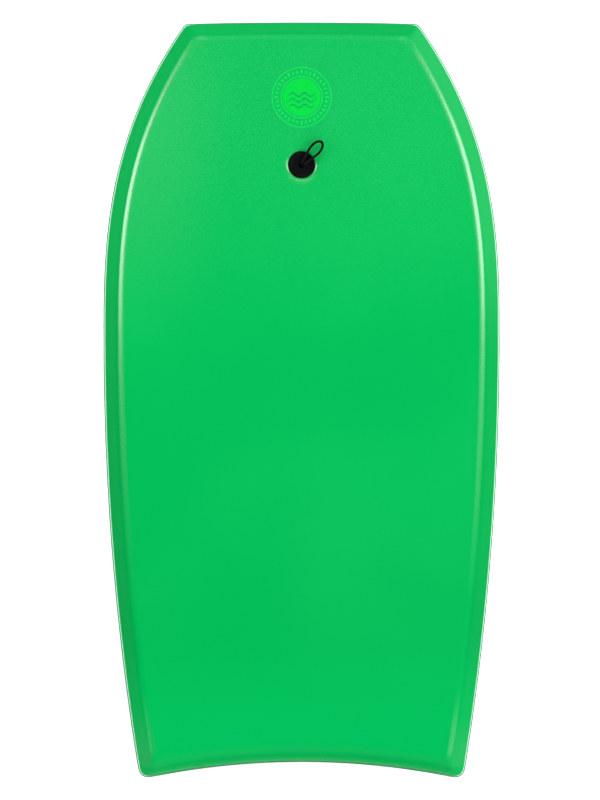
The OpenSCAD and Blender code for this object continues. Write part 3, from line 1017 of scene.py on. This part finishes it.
def side_vectors(path):
    """Two side vectors at each point of a path, turned as little as possible."""
    heading = np.gradient(path, axis=0)
    heading /= np.linalg.norm(heading, axis=1)[:, None]
    side = np.cross(heading[0], (0.0, 0.0, 1.0))
    if np.linalg.norm(side) < 0.1:
        side = np.cross(heading[0], (1.0, 0.0, 0.0))
    sides = []
    for h in heading:
        side = side - h * np.dot(side, h)
        side = side / np.linalg.norm(side)
        sides.append(side)
    return np.array(sides), np.cross(heading, np.array(sides))


def braid(along, angle):
    """Height of a braided surface: two families of strands that pass over and under each other."""
    turn = 2 * math.pi * along / BRAID_PITCH
    a = math.cos(STRANDS * (angle + turn))
    b = math.cos(STRANDS * (angle - turn))
    over = math.cos(STRANDS * angle) * math.cos(STRANDS * turn)
    return BRAID_DEPTH * (0.5 + 0.35 * max(a, b) + 0.15 * over)


def cord_rings(shell, path, sides, ups, around, radius):
    """Rings of points round a path, in the loop's frame. radius is a function of (point, angle)."""
    angles = [2 * math.pi * k / around for k in range(around)]
    rows = []
    for n, (p, s, u) in enumerate(zip(path, sides, ups)):
        rows.append(shell.add([
            LOOP @ Vector(p + radius(n, a) * (math.cos(a) * s + math.sin(a) * u)) for a in angles
        ]))
    return rows


def make_cord(finish):
    """The cord, with the line it follows and its length."""
    path = smooth_path(cord_route(), STEP_ALONG)
    reach = steps_along(path)
    shell = Shell()
    rows = cord_rings(shell, path, *side_vectors(path), CORD_AROUND,
                      lambda n, a: CORD_D / 2 + braid(reach[n], a))
    shell.skin(rows)
    shell.ends(rows)
    line = [tuple(LOOP @ Vector(p)) for p in path[::CORD_LINE_STEP]] + [tuple(LOOP @ Vector(path[-1]))]
    length = sum((Vector(a) - Vector(b)).length for a, b in zip(line, line[1:]))
    return shell.piece("leash_cord", [finish], sharp=60), line, length


def add_knot_turns(shell, centre):
    """The closed turns of an overhand knot drawn tight."""
    path = []
    for k in range(KNOT_STEPS):
        t = 2 * math.pi * k / KNOT_STEPS
        spread = KNOT_SIZE * (KNOT_HUB + math.cos(3 * t))
        height = centre + KNOT_WAVE * math.sin(3 * t)
        path.append((spread * math.cos(2 * t), spread * math.sin(2 * t), height))
    path = np.array(path)
    step = np.linalg.norm(np.diff(path, axis=0), axis=1).mean()
    heading = np.roll(path, -1, axis=0) - np.roll(path, 1, axis=0)
    heading /= np.linalg.norm(heading, axis=1)[:, None]
    outward = path * (1.0, 1.0, 0.0)
    sides = outward - heading * (outward * heading).sum(axis=1)[:, None]
    sides /= np.linalg.norm(sides, axis=1)[:, None]
    rows = cord_rings(shell, path, sides, np.cross(heading, sides), KNOT_AROUND,
                      lambda n, a: KNOT_CORD_R + braid(n * step, a))
    shell.skin(rows + rows[:1])


def add_sealed_end(shell, centre, hand):
    """One of the cord's two ends below the knot, melted to a slight swelling and a blunt tip."""
    line = []
    for k in range(END_POINTS):
        t = k / (END_POINTS - 1)
        line.append((hand * (END_OUT + END_SPLAY * t), hand * END_ASIDE, centre - END_TOP - END_REACH * t))
    path = smooth_path(line, STEP_ALONG)

    def radius(n, angle):
        left = len(path) - 1 - n
        return END_R * (END_TIP[left] if left < len(END_TIP) else 1 + END_SWELL * math.exp(-left / 2))

    rows = cord_rings(shell, path, *side_vectors(path), END_AROUND, radius)
    shell.skin(rows)
    shell.ends(rows)


def make_knot(finish):
    shell = Shell()
    centre = KNOT_TOP_Z - KNOT_H / 2
    add_knot_turns(shell, centre)
    for hand in (-1, 1):
        add_sealed_end(shell, centre, hand)
    return shell.piece("tied_knot", [finish], sharp=60)


# -------------------------------- round print
FILM = 0.10 * MM
PRINT_R = 42.4 * MM
PRINT_LINE = 1.2 * MM
PRINT_STEPS = 144
BAND_INNER_R = 29.0 * MM
BAND_ROWS = 16
DISC_R = 26.6 * MM
DISC_ROWS = 10
CENTRE_HOLE_R = 0.2 * MM
TICKS = 36
TICK_HALF = math.radians(1.7)
TICK_RADII = (33.4 * MM, 35.5 * MM)
TICK_SHORT_R = 37.0 * MM
TICK_LONG_R = 38.6 * MM
# Each wave in mm: its level, half its length, and the height of its crests
WAVES = [(3.5, 21, 2.6), (-4.5, 22, 2.6), (-12.5, 19, 2.2)]
WAVE_LENGTH = 17 * MM
WAVE_STEPS = 60
WAVE_THIN = 0.12 * MM
WAVE_THICK = 1.5 * MM


def film_patch(shell, rows, lift, tone, closed=False):
    """A thin closed patch over the deck. rows are lines of (x, y) round the print's centre."""
    def sheet(height):
        return [shell.add([(x, PRINT_Y + y, deck_level(x, PRINT_Y + y) + height) for x, y in row])
                for row in rows]

    tops = sheet(lift)
    lows = sheet(-FILM)
    shell.skin(tops, tone, closed)
    shell.skin(lows[::-1], tone, closed)
    shell.band(lows[0], tops[0], tone, closed)
    shell.band(tops[-1], lows[-1], tone, closed)
    if not closed:
        for k in (0, -1):
            shell.band([r[k] for r in tops], [r[k] for r in lows], tone, False)


def polar(radius, angles):
    return [(radius * math.cos(a), radius * math.sin(a)) for a in angles]


def ring_rows(inner, outer, rows):
    """Circles from one radius to another, for a closed patch."""
    angles = [2 * math.pi * k / PRINT_STEPS for k in range(PRINT_STEPS)]
    return [polar(inner + (outer - inner) * k / rows, angles) for k in range(rows + 1)]


def wave_rows(level, reach, crest):
    """The lower and the upper edge of a wave that thins out at both ends."""
    low = []
    high = []
    for k in range(WAVE_STEPS + 1):
        x = reach * (-1 + 2 * k / WAVE_STEPS)
        y = level + crest * math.sin(2 * math.pi * x / WAVE_LENGTH)
        half = WAVE_THIN + WAVE_THICK * math.sqrt(max(1 - (x / reach) ** 2, 0))
        low.append((x, y - half))
        high.append((x, y + half))
    return [low, high]


def make_print(finishes):
    """Ring, ticks, and a disc crossed by waves: a plain sun over the sea."""
    shell = Shell()
    half_line = PRINT_LINE / 2
    film_patch(shell, ring_rows(CENTRE_HOLE_R, PRINT_R, BAND_ROWS), FILM, 0, True)
    film_patch(shell, ring_rows(PRINT_R - PRINT_LINE, PRINT_R, 1), 2 * FILM, 1, True)
    film_patch(shell, ring_rows(BAND_INNER_R - half_line, BAND_INNER_R + half_line, 1), 2 * FILM, 1, True)
    film_patch(shell, ring_rows(CENTRE_HOLE_R, DISC_R, DISC_ROWS), 2 * FILM, 2, True)
    for k in range(TICKS):
        middle = 2 * math.pi * k / TICKS
        angles = (middle - TICK_HALF, middle, middle + TICK_HALF)
        outer = TICK_LONG_R if k % 3 == 0 else TICK_SHORT_R
        film_patch(shell, [polar(r, angles) for r in (*TICK_RADII, outer)], 2 * FILM, 1)
    for wave in WAVES:
        film_patch(shell, wave_rows(*(size * MM for size in wave)), 3 * FILM, 3)
    return shell.piece("round_print", finishes, sharp=60)


# -------------------------------- build the pieces
PLUG_BLACK = plug_plastic()
CORD_BLACK = cord_fibre()

knot = make_knot(CORD_BLACK)
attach(knot, "cord_swivel")
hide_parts("cord_knot")

cord, cord_line, cord_length = make_cord(CORD_BLACK)
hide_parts("cord_stem", "cord_loop")
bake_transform(cord)

core = make_core(bead_foam())
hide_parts("foam_core")

DECK_FINISHES = [
    deck_foam("deck_foam"),
    deck_foam("deck_crease", crease_polish),
    deck_foam("deck_plug_lip", lip_polish),
]
deck = make_deck(DECK_FINISHES)
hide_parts("deck_skin")

slick = make_slick(slick_plastic())
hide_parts("bottom_skin")

RAIL_FINISHES = [rail_skin(), rail_cut()]
nose_joint = joint_index(NOSE_JOINT_X, False)
tail_joint = joint_index(TAIL_JOINT_X, True)
STRIPS = [
    ("rail_right", "rail_strip_right", nose_joint, tail_joint, 3 * MM, "rail_foam"),
    ("rail_left", "rail_strip_left", RING - tail_joint, RING - nose_joint, 3 * MM, "rail_foam"),
    ("nose_edge", "nose_strip", RING - nose_joint, RING + nose_joint, 1.3 * MM, "end_foam"),
    ("tail_edge", "tail_strip", tail_joint, RING - tail_joint, 1.3 * MM, "end_foam"),
]
strips = []
for name, node, start, stop, lap, slot in STRIPS:
    strip = make_strip(name, start, stop, lap, RAIL_FINISHES)
    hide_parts(node)
    strips.append(strip)

plug_upper = make_plug_top(PLUG_BLACK)
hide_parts("plug_top")
plug_lower = make_plug_bottom(PLUG_BLACK)
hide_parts("plug_bottom")

PRINT_FINISHES = [
    print_ink("print_band", srgb(2, 149, 61), srgb(5, 146, 63)),
    print_ink("print_lines", srgb(24, 170, 80), srgb(18, 165, 75)),
    print_ink("print_disc", srgb(1, 168, 50), srgb(2, 164, 52)),
    print_ink("print_waves", srgb(6, 137, 67), srgb(5, 132, 65)),
]
emblem = make_print(PRINT_FINISHES)
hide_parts("deck_emblem")

for piece in (core, deck, slick, plug_upper, plug_lower, emblem, *strips):
    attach(piece, "board")


# -------------------------------- floor and light
FLOOR_SIZE = 60
FLOOR_Z = -0.2 * MM
# The world's grey by height: pale walls round the set, and a darker ceiling
SKY = [(0.07, 0.6), (0.22, 0.15)]
# Lamps: name, place, target, width and height in metres, and power in watts
LAMPS = [
    ("right_strip", (1.3, 0.4, 1.15), (0.25, 0.4, 0.05), 0.42, 0.85, 11),
    ("left_strip", (-1.3, 0.4, 1.15), (-0.25, 0.4, 0.05), 0.42, 0.85, 10),
    ("right_nose_lamp", (1.15, 1.2, 1.15), (0.19, 0.47, 0.07), 0.4, 0.4, 3),
    ("left_nose_lamp", (-1.15, 1.2, 1.15), (-0.19, 0.47, 0.07), 0.4, 0.4, 3),
    ("right_end_lamp", (1.39, -0.69, 1.1), (0.21, -0.49, 0.05), 0.16, 0.3, 0.5),
    ("left_end_lamp", (-1.39, -0.69, 1.1), (-0.21, -0.49, 0.05), 0.16, 0.3, 0.5),
]
# Very soft far lights, the same over the whole floor: name, direction, spread in degrees and strength
SUNS = [
    ("right_light", (0.5, -0.87, 1.0), 60, 2.77),
    ("nose_light", (0, 1.0, 1.0), 45, 2.22),
    ("top_light", (0, 0.45, 1.0), 30, 0.66),
]


def make_floor():
    bpy.ops.mesh.primitive_plane_add(size=FLOOR_SIZE, location=(0, 0, FLOOR_Z))
    floor = bpy.context.object
    floor.name = "floor"
    floor.data.materials.append(floor_paper())


def add_light(name, kind, direction):
    data = bpy.data.lights.new(name, kind)
    lamp = bpy.data.objects.new(name, data)
    bpy.context.scene.collection.objects.link(lamp)
    lamp.rotation_euler = direction.to_track_quat("Z", "Y").to_euler()
    return lamp, data


def area_light(name, place, target, width, height, power):
    lamp, data = add_light(name, "AREA", Vector(place) - Vector(target))
    lamp.location = place
    lamp.visible_camera = False
    data.shape = "RECTANGLE"
    data.size = width
    data.size_y = height
    data.energy = power


def sun_light(name, towards, spread, strength):
    data = add_light(name, "SUN", Vector(towards))[1]
    data.angle = math.radians(spread)
    data.energy = strength


def make_sky():
    world = bpy.data.worlds.new("studio")
    bpy.context.scene.world = world
    world.use_nodes = True
    nodes = world.node_tree.nodes
    links = world.node_tree.links
    place = nodes.new("ShaderNodeTexCoord")
    split = nodes.new("ShaderNodeSeparateXYZ")
    ramp = nodes.new("ShaderNodeValToRGB")
    links.new(place.outputs["Generated"], split.inputs[0])
    links.new(split.outputs["Z"], ramp.inputs[0])
    links.new(ramp.outputs[0], nodes["Background"].inputs["Color"])
    for stop, (height, grey) in zip(ramp.color_ramp.elements, SKY):
        stop.position = height
        stop.color = (grey, grey, grey, 1)


make_floor()
make_sky()
for lamp in LAMPS:
    area_light(*lamp)
for sun in SUNS:
    sun_light(*sun)
bpy.context.scene.view_settings.view_transform = "Standard"
